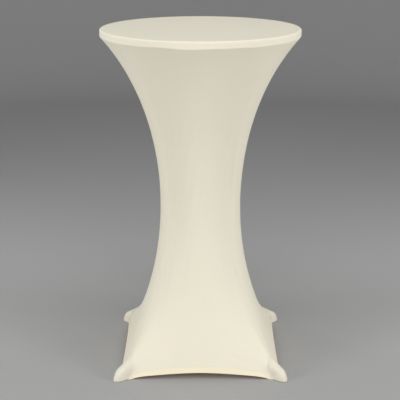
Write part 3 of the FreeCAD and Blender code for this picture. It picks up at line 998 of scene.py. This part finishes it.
@dataclass
class Skirt:
    """The four upright panels, each as two halves, with their hem tape, corner seams and stitches."""

    plan: CoverPlan
    stitches: StitchTree
    membrane: Membrane = field(default_factory=Membrane)
    half_columns: int = 26
    seam_crowding: float = 1.6       # columns crowd towards the corners by this power
    seam_depth: float = 0.0009
    seam_width: float = 0.0022
    pull_depth: float = 0.0004       # creases that fan out from the pockets
    ripple_depth: float = 0.0005
    hem_lift: float = 0.0004
    hem_rise: float = 0.0030         # how far the hem bows up in the middle of a face
    hem_drop: float = 0.0050         # and down beside the pockets
    bow_width: float = 0.10
    drop_place: float = 0.047        # where it comes down, from the corner
    drop_width: float = 0.028
    arch_height: float = 0.11        # how far up the cloth the bow and the drop reach
    fan_place: float = 0.11          # where the creases from a pocket are deepest
    fan_width: float = 0.075
    stretch: float = 1.2             # area on the table over area as cut
    tape_stretch: float = 1.15
    fin_depth: float = 0.0060
    fin_half: float = 0.0007
    tape: float = 0.0008

    def __post_init__(self) -> None:
        """Solves the cover's shape."""
        self.face = self.membrane.face()
        self.last = self.membrane.rows
        spaced = (np.arange(self.half_columns + 1) / self.half_columns) ** self.seam_crowding
        half = self.membrane.columns / 2
        self.places = np.concatenate([half * spaced, 2 * half - half * spaced[-2::-1]])
        near, far = 2, self.last - 2     # rows lie closer together beyond these threads
        self.levels = np.concatenate([np.linspace(0, near, 9), np.linspace(near, far, 73)[1:],
                                      np.linspace(far, self.last, 11)[1:]])

    def _rim_profile(self) -> np.ndarray:
        """Follows the cloth over the rim, from the top seam to the crease.

        Returns:
            Rows of radius, height and the share of the crease's sag that each takes.
        """
        plan = self.plan
        centre = plan.rim_radius - plan.rim_edge
        rows = [(plan.seam_radius + out, plan.top - below, 0.0)
                for out, below in ((0.0002, 0.0006), (0.0010, 0.0001), (0.0025, 0.0))]
        for step in np.linspace(0, math.pi / 2, 8):
            rows.append((centre + plan.rim_edge * math.sin(step),
                         plan.top - plan.rim_edge + plan.rim_edge * math.cos(step), 0.0))
        low = plan.top - plan.crease_height
        for share in (0.35, 0.7):
            rows.append((plan.rim_radius,
                         plan.top - plan.rim_edge + share * (low - plan.top + plan.rim_edge), share))
        for step in np.linspace(0, plan.crease_sweep, 7)[:-1]:
            rows.append((plan.rim_radius - plan.crease + plan.crease * math.cos(step),
                         low - plan.crease * math.sin(step), 1.0))
        return np.array(rows)

    def _crease_sag(self, side: Side, angles: np.ndarray) -> np.ndarray:
        """Lets the crease under the rim wander.

        Args:
            side: The face.
            angles: Azimuths from the middle of the face.

        Returns:
            How far up the crease moves at each.
        """
        draw = np.random.default_rng(11 + side.value[0] % 360)
        sag = sum(0.0005 * np.sin(rate * angles * 4 + draw.uniform(0, math.tau))
                  for rate in (1.0, 2.3, 4.1))
        dip = -0.0022 * np.exp(-((angles + 0.09) / 0.16) ** 4) if side is Side.FRONT else 0.0
        return (sag + dip) * np.cos(angles * 2) ** 0.5

    def _relief(self, side: Side, sheet: Sheet) -> np.ndarray:
        """Works out the ripples, the creases from the pockets and the hem's band.

        Args:
            side: The face.
            sheet: Its smooth cloth.

        Returns:
            The height of each point above the smooth cloth.
        """
        draw = np.random.default_rng(3 + side.value[0] % 360)
        along, down = sheet.cloth[..., 0], sheet.cloth[..., 1]
        total = down[:, -1:]
        left = total - down
        relief = np.zeros_like(down)
        for wave in (0.031, 0.047, 0.083):
            phase, lean = draw.uniform(0, math.tau), draw.uniform(-0.25, 0.25)
            strength = self.ripple_depth * draw.uniform(0.5, 1.0) * (wave / 0.083)
            ripple = strength * np.sin(math.tau * (along + lean * down) / wave + phase)
            relief += ripple * np.sin(math.pi * np.clip(down / total, 0, 1)) ** 2
        for hand in (-1, 1):
            edge = along[-1 if hand > 0 else 0][None, :] - along
            bearing = np.arctan2(np.abs(edge), left + 0.004)
            distance = np.hypot(edge, left)
            fans = np.sin(bearing * draw.uniform(17, 21) + draw.uniform(0, math.tau))
            reach = np.exp(-((distance - self.fan_place) / self.fan_width) ** 2)
            relief += self.pull_depth * fans * reach
        fade = np.clip(left / 0.05, 0, 1)
        relief *= fade * fade * (3 - 2 * fade) * np.clip(down / 0.12, 0, 1)
        band = np.clip((self.plan.hem_band + 0.001 - left) / 0.002, 0, 1)
        return relief + self.hem_lift * band

    def panel(self, side: Side) -> Sheet:
        """Builds the outside of one face, from corner to corner.

        Args:
            side: The face.

        Returns:
            The cloth in its place, with its lengths counted from its middle and from the hem.
        """
        grid = sampled(self.face, self.places)
        grid = np.swapaxes(sampled(np.swapaxes(grid, 0, 1), self.levels), 0, 1)
        angles = (self.places / self.membrane.columns - 0.5) * (math.pi / 2)
        sag = self._crease_sag(side, angles)
        grid[..., 2] += sag[:, None] * np.exp(-(self.levels / 1.1) ** 2)[None, :]
        for hand in (-1, 1):
            half = slice(0, self.half_columns) if hand < 0 else slice(self.half_columns + 1, None)
            beside = clear_of_leg(turned(grid[half], -hand * math.pi / 4))
            grid[half] = turned(beside, hand * math.pi / 4)
        radius, height, share = self._rim_profile().T
        level = height[None, :] + share[None, :] * sag[:, None]
        rim = np.stack([radius[None, :] * np.cos(angles)[:, None],
                        radius[None, :] * np.sin(angles)[:, None], level], axis=-1)
        sheet = Sheet.from_points(np.concatenate([rim, grid], axis=1))
        middle = sheet.cloth[self.half_columns, :, 0]
        sheet.cloth[..., 0] -= middle[None, :]
        points = sheet.points + self._relief(side, sheet)[..., None] * sheet.normals
        points = self._arched(self._seamed(points, sheet), sheet)
        final = Sheet.from_points(points)
        cloth = sheet.cloth - sheet.cloth[:, -1:] * np.array([0.0, 1.0])
        return Sheet(turned(final.points, side.azimuth), turned(final.normals, side.azimuth), cloth)

    def _arched(self, points: np.ndarray, sheet: Sheet) -> np.ndarray:
        """Bows the hem: up in the middle and down to the floor beside each pocket.

        Args:
            points: The cloth's outside.
            sheet: The same cloth before its relief, for its lengths.

        Returns:
            The moved points.
        """
        along, down = sheet.cloth[..., 0], sheet.cloth[..., 1]
        fade = np.clip(1 - (down[:, -1:] - down) / self.arch_height, 0, 1) ** 2
        edge = np.minimum(along - along[0], along[-1] - along)
        rise = self.hem_rise * np.exp(-(along / self.bow_width) ** 2)
        drop = self.hem_drop * np.exp(-((edge - self.drop_place) / self.drop_width) ** 2)
        points = points.copy()
        points[..., 2] += (rise - drop) * fade
        return points

    def _seamed(self, points: np.ndarray, sheet: Sheet) -> np.ndarray:
        """Draws the cloth in along both corners, where it is sewn.

        Args:
            points: The cloth's outside.
            sheet: The same cloth before its relief, for its lengths.

        Returns:
            The moved points.
        """
        left = sheet.cloth[:, -1:, 1] - sheet.cloth[..., 1]
        keep = np.clip((left - 0.02) / 0.03, 0, 1)
        for hand in (-1, 1):
            corner = sheet.cloth[-1 if hand > 0 else 0, :, 0]
            edge = np.abs(corner[None, :] - sheet.cloth[..., 0])
            depth = self.seam_depth * np.exp(-(edge / self.seam_width) ** 2) * keep
            inward = -np.array([math.cos(math.pi / 4), hand * math.sin(math.pi / 4), 0.0])
            points = points + depth[..., None] * inward
        return points

    def level_line(self, sheet: Sheet, left: float) -> tuple[np.ndarray, np.ndarray]:
        """Finds the line on a sheet that keeps one distance from its bottom edge.

        Args:
            sheet: The cloth.
            left: The distance above its bottom edge.

        Returns:
            Points on the line and the normals there.
        """
        lines, normals = [], []
        for column in range(sheet.points.shape[0]):
            down = sheet.cloth[column, :, 1]
            want = down[-1] - left
            for found, grid in ((lines, sheet.points), (normals, sheet.normals)):
                found.append([np.interp(want, down, grid[column, :, k]) for k in range(3)])
        return np.array(lines), np.array(normals)

    def build(self) -> None:
        """Makes every panel half, tape, fin and stitch."""
        panels = {side: self.panel(side) for side in Side}
        middle = self.half_columns
        runs: dict[Corner, list[tuple[np.ndarray, np.ndarray]]] = {corner: [] for corner in Corner}
        for side, panel in panels.items():
            for corner, columns in ((side.value[1], slice(0, middle + 1)),
                                    (side.value[2], slice(middle, None))):
                half = panel.part(columns)
                name = f"skirt_{side.label}_by_{corner.label}"
                piece = shell_object(name, half, self.plan.cloth, HEMMED_KNIT)
                dress(piece, f"skirt_{side.label}", corner)
                self._tape(side, corner, half)
                declare_sheet(half, self.stretch)
                hemmed = self._hemmed(side, corner, half)
                runs[corner] += [(line + LIFT * normal, normal) for line, normal in
                                 (self.level_line(hemmed, left) for left in (0.0185, 0.0213))]
        for corner in Corner:
            name = f"hem_stitches_{corner.label}"
            dress(self.stitches.run(name, runs[corner], HEM_STITCH, THREAD), corner=corner)
            self._fin(corner)

    def _hemmed(self, side: Side, corner: Corner, half: Sheet) -> Sheet:
        """Picks the columns of a half that end in a hem and not in a pocket's mouth.

        Args:
            side: The face.
            corner: The half's corner.
            half: Its cloth.

        Returns:
            That part of the cloth.
        """
        mouth = len(self.membrane.mouth) - 1 + 0.25
        count = int((self.places[:self.half_columns + 1] < mouth).sum())
        return half.part(slice(count, None) if corner is side.value[1] else slice(0, -count))

    def _tape(self, side: Side, corner: Corner, half: Sheet) -> None:
        """Makes the elastic tape inside one half's hem.

        Args:
            side: The face.
            corner: The half's corner.
            half: Its cloth.
        """
        hemmed = self._hemmed(side, corner, half)
        rows = [self.level_line(hemmed, left) for left in (0.0215, 0.0160, 0.0110, 0.0060, 0.0008)]
        inside = self.plan.cloth + 0.00015 + self.hem_lift
        points = np.stack([line - inside * normal for line, normal in rows], axis=1)
        sheet = Sheet.from_points(points)
        piece = shell_object(f"hem_tape_{side.label}_by_{corner.label}", sheet, self.tape, TAPE)
        dress(piece, f"hem_tape_{side.label}", corner)
        declare_sheet(sheet, self.tape_stretch)

    def _fin(self, corner: Corner) -> None:
        """Makes the overlocked edges of two panels, which stand inside a corner.

        Args:
            corner: The corner.
        """
        ridge = self.face[-1]
        levels = np.linspace(0.6, self.last - 1.4, 90)
        path = turned(sampled(ridge, levels), corner.azimuth - math.pi / 4)
        along = np.gradient(path, axis=0)
        along /= np.linalg.norm(along, axis=1, keepdims=True)
        across = np.cross(np.array([0.0, 0.0, 1.0]), corner.outward)
        inward = np.cross(across[None, :], along)
        inward *= -np.sign(inward @ corner.outward)[:, None]
        wave = 0.0004 * np.sin(np.arange(len(path)) * 1.9)
        near = self.plan.cloth + self.seam_depth + 0.0003
        far = near + self.fin_depth
        section = [(-self.fin_half, near), (self.fin_half, near), (self.fin_half, far),
                   (0.0, far + 0.0006), (-self.fin_half, far)]
        rings = [path + inward * depth + across[None, :] * (side + wave[:, None] * (depth > near))
                 for side, depth in section]
        points = np.stack(rings, axis=1)
        count = len(section)
        total = len(path) * count
        faces = [tuple(range(count)), tuple(range(total - 1, total - count - 1, -1))]
        for i in range(len(path) - 1):
            for j in range(count):
                a, b = i * count + j, i * count + (j + 1) % count
                faces.append((b, a, a + count, b + count))
        flat = points.reshape(-1, 3)
        fin = mesh_object(f"seam_fin_{corner.label}", flat, faces, KNIT, cloth=flat[:, 1:])
        edge = path + inward * (near + self.fin_depth * 0.75)
        lines = [(edge + side * across * (self.fin_half + LIFT), np.tile(side * across, (len(edge), 1)))
                 for side in (-1, 1)]
        overlock = self.stitches.run(f"corner_overlock_{corner.label}", lines, CORNER_STITCH, THREAD)
        for piece in (fin, overlock):
            dress(piece, f"corner_seam_{corner.label}", corner)


@dataclass
class FootPockets:
    """The doubled pocket at each corner: a tongue on the skirt, a toe over the foot and a sole."""

    plan: CoverPlan
    stitches: StitchTree
    membrane: Membrane
    apex: float = 38.35          # where the tongue's point lies, in threads from the rim
    shoulder: float = 39.62      # where the tongue's sides end
    lip: float = 0.0115          # how far the toe's foot stands out beyond the leg's cap
    brow: tuple[float, float, float] = (0.0073, 0.0, 0.0018)    # toe's upper edge from the mouth
    wall: float = 0.0010
    sole: float = 0.0014
    foot: float = 0.0015         # bottom of the wall above the floor
    heel: float = 0.005          # how far the wall's ends reach back past the mouth
    knee_share: float = 0.3      # where the nose bends between its foot and its brow
    knee_height: float = 0.8     # height of that bend over the brow's
    stretch: float = 1.05        # area on the table over area as cut
    sole_stretch: float = 1.0
    sole_length: float = 0.057

    def _mouth(self, shares: np.ndarray) -> np.ndarray:
        """Upper edge of the toe from one side to the other, with the foot along +X."""
        return self._skirt(shares, np.full_like(shares, float(self.membrane.rows)))

    def _skirt(self, shares: np.ndarray, levels: np.ndarray) -> np.ndarray:
        """Finds places on the two panels that meet at the corner, each on its own side.

        Args:
            shares: Places across the pocket, from -1 to 1.
            levels: Places down the panels, in threads from the rim.

        Returns:
            The places, with the foot along +X.
        """
        face = self.membrane.face()
        steps = len(self.membrane.mouth) - 1
        halves = {1: turned(face, math.pi / 4), -1: turned(face, -math.pi / 4)}
        out = np.zeros(shares.shape + (3,))
        for index, share in np.ndenumerate(shares):
            grid = halves[1] if share >= 0 else halves[-1]
            place = steps * abs(share)
            place = place if share >= 0 else self.membrane.columns - place
            column = sampled(grid, np.array([place]))[0]
            out[index] = sampled(column, np.array([levels[index]]))[0]
        return clear_of_leg(out)

    def _outline(self, shares: np.ndarray) -> np.ndarray:
        """Draws the foot of the toe's wall: two straight sides and a longer, rounded nose.

        Args:
            shares: Places round the wall, from -1 to 1.

        Returns:
            The places, with the foot along +X.
        """
        plan = self.plan
        half, centre = plan.pocket_half, plan.nose_centre
        length = centre - plan.mouth_foot + half * math.pi / 2
        walk = np.abs(shares) * length
        angle = np.minimum(walk / half, math.pi / 2)
        straight = np.maximum(walk - half * math.pi / 2, 0)
        straight = straight + self.heel * shares ** 4
        return np.stack([centre + (half + self.lip) * np.cos(angle) - straight,
                         np.sign(shares) * (half + 0.0006) * np.sin(angle),
                         np.full_like(shares, self.foot)], axis=-1)

    def surface(self) -> Sheet:
        """Builds the outside of tongue and toe.

        Returns:
            The cloth, with the foot along +X.
        """
        shares = np.linspace(-1, 1, 33)
        mouth, foot = self._mouth(shares), self._outline(shares)
        top = self.shoulder + (self.apex - self.shoulder) * (1 - np.abs(shares)) ** 0.9
        start = self._skirt(shares, top)
        bend = mouth + np.cos(shares * math.pi / 2)[:, None] ** 2 * np.array(self.brow)
        knee = foot + self.knee_share * (bend - foot)
        knee[:, 2] = self.knee_height * bend[:, 2]
        taut = [start + (bend - start) * step for step in np.linspace(0, 1, 11)[:-1]]
        nose = [(1 - t) ** 2 * bend + 2 * t * (1 - t) * knee + t * t * foot
                for t in np.linspace(0, 1, 15)]
        sheet = Sheet.from_points(np.stack(taut + nose, axis=1))
        dents = 0.0003 * np.sin(sheet.cloth[..., 1] * 420 + sheet.cloth[..., 0] * 230)
        bottom = np.clip((sheet.points[..., 2] - 0.004) / 0.008, 0, 1)
        points = sheet.points + (self.plan.doubling + dents * bottom)[..., None] * sheet.normals
        return Sheet.from_points(points)

    def build(self) -> None:
        """Makes the pocket, the sole and their stitches at each corner."""
        sheet = self.surface()
        rows = sheet.points.shape[1]
        for corner in Corner:
            place = Sheet(turned(sheet.points, corner.azimuth), turned(sheet.normals, corner.azimuth),
                          sheet.cloth)
            pocket = shell_object(f"pocket_cloth_{corner.label}", place, self.wall, POCKET_CLOTH)
            dress(pocket, f"foot_pocket_{corner.label}", corner)
            declare_sheet(place, self.stretch)
            lines = [(place.points[:, row] + LIFT * place.normals[:, row], place.normals[:, row])
                     for row in (1, rows - 3)]
            name = f"pocket_stitches_{corner.label}"
            dress(self.stitches.run(name, lines, POCKET_STITCH, WHITE_THREAD), corner=corner)
            self._sole(corner)

    def _sole(self, corner: Corner) -> None:
        """Makes the doubled patch under one foot.

        Args:
            corner: The foot's corner.
        """
        plan = self.plan
        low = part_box(f"pocket_sole_{corner.label}")[0].z
        mouth = plan.foot_reach - self.sole_length
        turn = np.linspace(0, math.pi / 2, 12)
        nose = plan.nose_centre + (plan.pocket_half + self.lip - 0.0004) * np.sin(turn)
        along = np.concatenate([np.linspace(mouth, plan.nose_centre, 14)[:-1], nose])
        half = plan.pocket_half * np.concatenate([np.ones(13), np.maximum(np.cos(turn), 0.01)])
        count = 19
        shares = np.linspace(1, -1, count)
        points = np.stack([np.tile(along, (count, 1)), shares[:, None] * half[None, :],
                           np.full((count, len(along)), low)], axis=-1)
        points[..., 2] += 0.0003 * np.abs(shares[:, None]) ** 6
        sheet = Sheet.from_points(turned(points, corner.azimuth))
        sole = shell_object(f"sole_cloth_{corner.label}", sheet, self.sole, POCKET_CLOTH)
        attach(sole, f"pocket_{corner.label}")
        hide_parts(f"pocket_sole_{corner.label}")
        declare_sheet(sheet, self.sole_stretch)


@dataclass
class TopPanel:
    """The round top of the cover and its seam."""

    plan: CoverPlan
    stitches: StitchTree
    segments: int = 192
    puckers: int = 96
    pucker_depth: float = 0.00015
    stretch: float = 1.1         # area on the table over area as cut

    def build(self) -> None:
        """Makes the disc and the seam round it."""
        plan = self.plan
        edge = plan.seam_radius - 0.0002
        outer = [(r, plan.top) for r in np.linspace(0.012, edge - 0.006, 22)]
        outer += [(edge - 0.0025, plan.top), (edge - 0.0010, plan.top - 0.0001), (edge, plan.top - 0.0006)]
        inner = [(r, z - plan.cloth * (0.55 if r > edge - 0.0005 else 1.0)) for r, z in outer[::-1]]
        angles = np.arange(self.segments) * (math.tau / self.segments)
        rings = []
        for radius, height in outer + inner:
            near = math.exp(-((edge - radius) / 0.004) ** 2)
            pucker = -self.pucker_depth * near * (1 + np.cos(angles * self.puckers))
            rings.append(np.stack([radius * np.cos(angles), radius * np.sin(angles), height + pucker],
                                  axis=-1))
        poles = np.array([[0, 0, plan.top], [0, 0, plan.top - plan.cloth]])
        points = np.concatenate([np.concatenate(rings), poles])
        count, last = self.segments, len(rings) - 1
        faces: list[tuple[int, ...]] = []
        for k in range(count):
            n = (k + 1) % count
            faces.append((len(points) - 2, k, n))
            faces.append((len(points) - 1, last * count + n, last * count + k))
            faces += [(r * count + k, (r + 1) * count + k, (r + 1) * count + n, r * count + n)
                      for r in range(last)]
        panel = mesh_object("top_cloth", points, faces, KNIT, cloth=points[:, :2])
        dress(panel, "top_panel")
        math.pi * edge ** 2 / self.stretch
        ring = np.linspace(0, math.tau, 400)
        line = np.stack([plan.seam_radius * np.cos(ring), plan.seam_radius * np.sin(ring),
                         np.full_like(ring, plan.top - 0.0004)], axis=-1)
        upward = np.tile([0.0, 0.0, 1.0], (len(ring), 1))
        seam = self.stitches.run("top_seam_stitches", [(line, upward)], TOP_STITCH, THREAD)
        dress(seam, "top_seam")


@dataclass
class CareLabel:
    """Blank satin label inside the back panel."""

    width: float = 0.030
    length: float = 0.040
    curl: float = 0.004
    thickness: float = 0.0004

    def build(self) -> None:
        """Makes the label between the corners of its node's box."""
        low, high = (np.array(corner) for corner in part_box("care_label"))
        middle = (low + high) / 2
        azimuth = math.atan2(middle[1], middle[0])
        outward = np.array([math.cos(azimuth), math.sin(azimuth), 0.0])
        across = np.array([-math.sin(azimuth), math.cos(azimuth), 0.0])
        drop = high[2] - low[2]
        lean = math.sqrt(max(self.length ** 2 - drop ** 2, 0.0))
        points = np.zeros((11, 17, 3))
        for i, share in enumerate(np.linspace(-0.5, 0.5, 11)):
            for j, down in enumerate(np.linspace(0, 1, 17)):
                out = lean * (down - 0.5) - 0.0008 - self.curl * down ** 3
                points[i, j] = (middle + across * self.width * share + outward * out
                                + np.array([0, 0, drop * (0.5 - down)]))
        sheet = Sheet.from_points(points)
        label = shell_object("label_cloth", sheet, self.thickness, SATIN)
        dress(label, "care_label")


class TableFrame:
    """The table inside the cover: the CAD solids in their own finishes."""

    def build(self) -> None:
        """Gives each CAD node the finish of its material slot."""
        slots = {part["node"]: part["material_slot"] for part in frame["record"]["subparts"]}
        for name, node in frame["nodes"].items():
            finish = SLOT_FINISHES.get(slots[name])
            if finish is None:
                continue
            for holder in node.material_slots:
                holder.material = finish.material()
            LOG.info("%s: %s", name, finish.name)


@dataclass(frozen=True)
class SoftBox:
    """One soft light that faces a point, with its size in metres and its power in watts."""

    name: str
    place: tuple[float, float, float]
    aim: tuple[float, float, float]
    size: tuple[float, float]
    power: float
    colour: Colour = (1.0, 1.0, 1.0)

    def build(self) -> None:
        """Makes the light."""
        data = bpy.data.lights.new(self.name, "AREA")
        data.shape, data.energy = "RECTANGLE", self.power
        data.size, data.size_y = self.size
        data.color = self.colour
        light = bpy.data.objects.new(self.name, data)
        light.location = self.place
        direction = Vector(self.aim) - Vector(self.place)
        light.rotation_euler = direction.to_track_quat("-Z", "Y").to_euler()
        bpy.context.scene.collection.objects.link(light)


SOFT_BOXES = (
    SoftBox("key", (0.0, -4.4, 1.45), (0.0, 0.0, 1.15), (3.0, 1.6), 38),
    SoftBox("overhead", (0.0, -1.3, 3.7), (0.0, -1.3, 0.0), (1.8, 1.2), 28),
    SoftBox("top_box", (0.0, 0.3, 2.7), (0.0, 0.3, 0.0), (0.9, 0.9), 3),
    SoftBox("left_box", (-3.7, -2.3, 1.4), (0.0, 0.0, 1.1), (1.9, 1.6), 81),
    SoftBox("right_box", (3.7, -2.3, 1.4), (0.0, 0.0, 1.1), (1.9, 1.6), 86),
    SoftBox("left_strip", (-2.3, 1.2, 1.2), (0.0, 0.0, 1.0), (0.4, 0.7), 9),
    SoftBox("right_strip", (2.3, 1.2, 1.2), (0.0, 0.0, 1.0), (0.4, 0.7), 8),
    SoftBox("glow_through_cloth", (0.0, 0.0, 0.30), (0.0, 0.0, 0.0), (0.15, 0.15), 0.2,
            (1.0, 0.55, 0.22)),
)


@dataclass
class Studio:
    """Round pale backdrop, soft lights and the camera."""

    camera_place: tuple[float, float, float] = (-0.0013, -3.796, 1.587)
    camera_pitch: float = math.radians(74.5)
    lens: float = 105.8
    air_grey: float = 0.90
    air_strength: float = 0.58
    floor_radius: float = 4.6
    bend_radius: float = 1.4
    wall_height: float = 6.0

    def build(self) -> None:
        """Makes everything round the object."""
        scene = bpy.context.scene
        scene.view_settings.view_transform = "Standard"
        self._backdrop()
        for box in SOFT_BOXES:
            box.build()
        world = bpy.data.worlds.new("studio_air")
        world.use_nodes = True
        air = world.node_tree.nodes["Background"].inputs
        air["Color"].default_value = (self.air_grey, self.air_grey, self.air_grey, 1.0)
        air["Strength"].default_value = self.air_strength
        scene.world = world
        data = bpy.data.cameras.new("camera")
        data.lens, data.sensor_width = self.lens, 36.0
        data.clip_start, data.clip_end = 0.1, 50.0
        camera = bpy.data.objects.new("camera", data)
        camera.location = self.camera_place
        camera.rotation_euler = (self.camera_pitch, 0.0, 0.0)
        scene.collection.objects.link(camera)
        scene.camera = camera

    def _backdrop(self) -> None:
        """Floor that turns up into a wall all round."""
        profile = [(2.0, 0.0), (self.floor_radius, 0.0)]
        profile += [(self.floor_radius + self.bend_radius * math.sin(a),
                     self.bend_radius - self.bend_radius * math.cos(a))
                    for a in np.linspace(0.1, math.pi / 2, 16)]
        profile += [(6.0, self.wall_height)]
        count = 96
        angles = np.arange(count) * (math.tau / count)
        rings = [np.stack([r * np.cos(angles), r * np.sin(angles), np.full(count, z)], axis=-1)
                 for r, z in profile]
        points = np.concatenate(rings + [np.zeros((1, 3))])
        pole = len(points) - 1
        faces: list[tuple[int, ...]] = []
        for k in range(count):
            n = (k + 1) % count
            faces.append((pole, k, n))
            faces += [(r * count + k, (r + 1) * count + k, (r + 1) * count + n, r * count + n)
                      for r in range(len(profile) - 1)]
        floor = mesh_object("studio_floor", points, faces, PAPER)


def main() -> None:
    """Builds the studio, the cover and the table."""
    Studio().build()
    plan = CoverPlan.from_frame()
    stitches = StitchTree()
    skirt = Skirt(plan, stitches)
    skirt.build()
    FootPockets(plan, stitches, skirt.membrane).build()
    TopPanel(plan, stitches).build()
    CareLabel().build()
    TableFrame().build()
    bpy.context.view_layer.update()


if __name__ == "__main__":
    logging.basicConfig(level=logging.INFO, format="%(name)s: %(message)s")
    main()
